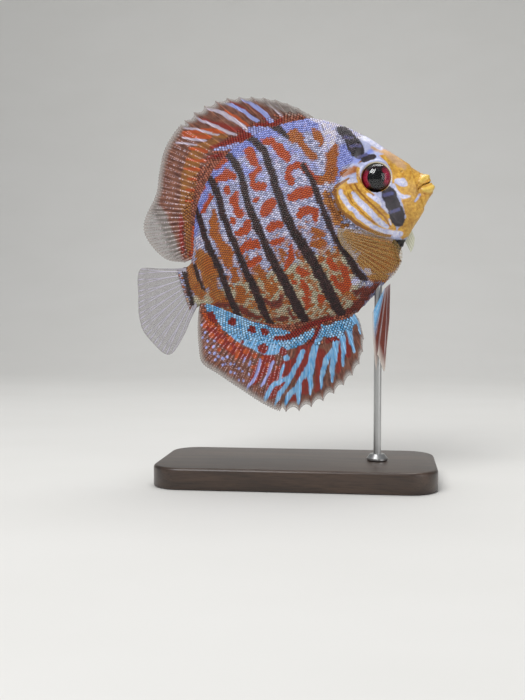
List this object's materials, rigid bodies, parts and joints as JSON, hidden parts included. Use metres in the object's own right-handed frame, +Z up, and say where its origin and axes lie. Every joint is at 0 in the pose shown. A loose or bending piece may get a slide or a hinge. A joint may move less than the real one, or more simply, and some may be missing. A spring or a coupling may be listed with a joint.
{
  "type": "discus fish",
  "caption": "Still, life-size display model of a discus: a tall flat disc-shaped fish held nose up on one rod over a flat wooden base.",
  "frame": {"origin": "middle of the stand's underside, on the floor", "axes": "+X towards the head, +Y towards the fish's left side, +Z up; the fish is pitched 18 degrees nose up"},
  "size_m": [0.1446, 0.066, 0.1835],
  "materials": {
    "skin": "wet, small overlapping scales, orange-red and blue-white markings between dark bars",
    "eye": "glossy, red iris round a black pupil",
    "fin": "thin web over fine rays, red-brown with blue streaks and a clear margin",
    "clear_fin": "thin, see-through web over fine pale rays",
    "stand_wood": "dark stained and satin varnished",
    "stand_steel": "brushed"
  },
  "bodies": {
    "root": {"head": "skin", "lower_jaw": "skin", "gill_cover_right": "skin", "gill_cover_left": "skin", "trunk": "skin", "tail_base": "skin", "eye_right": "eye", "eye_left": "eye", "dorsal_fin": "fin", "anal_fin": "fin", "caudal_fin": "clear_fin", "pectoral_fin_left": "clear_fin", "pectoral_fin_right": "clear_fin", "pelvic_fin_left": "fin", "pelvic_fin_right": "fin", "stand_base": "stand_wood", "stand_collar": "stand_steel", "stand_rod": "stand_steel"}
  },
  "joints": []
}
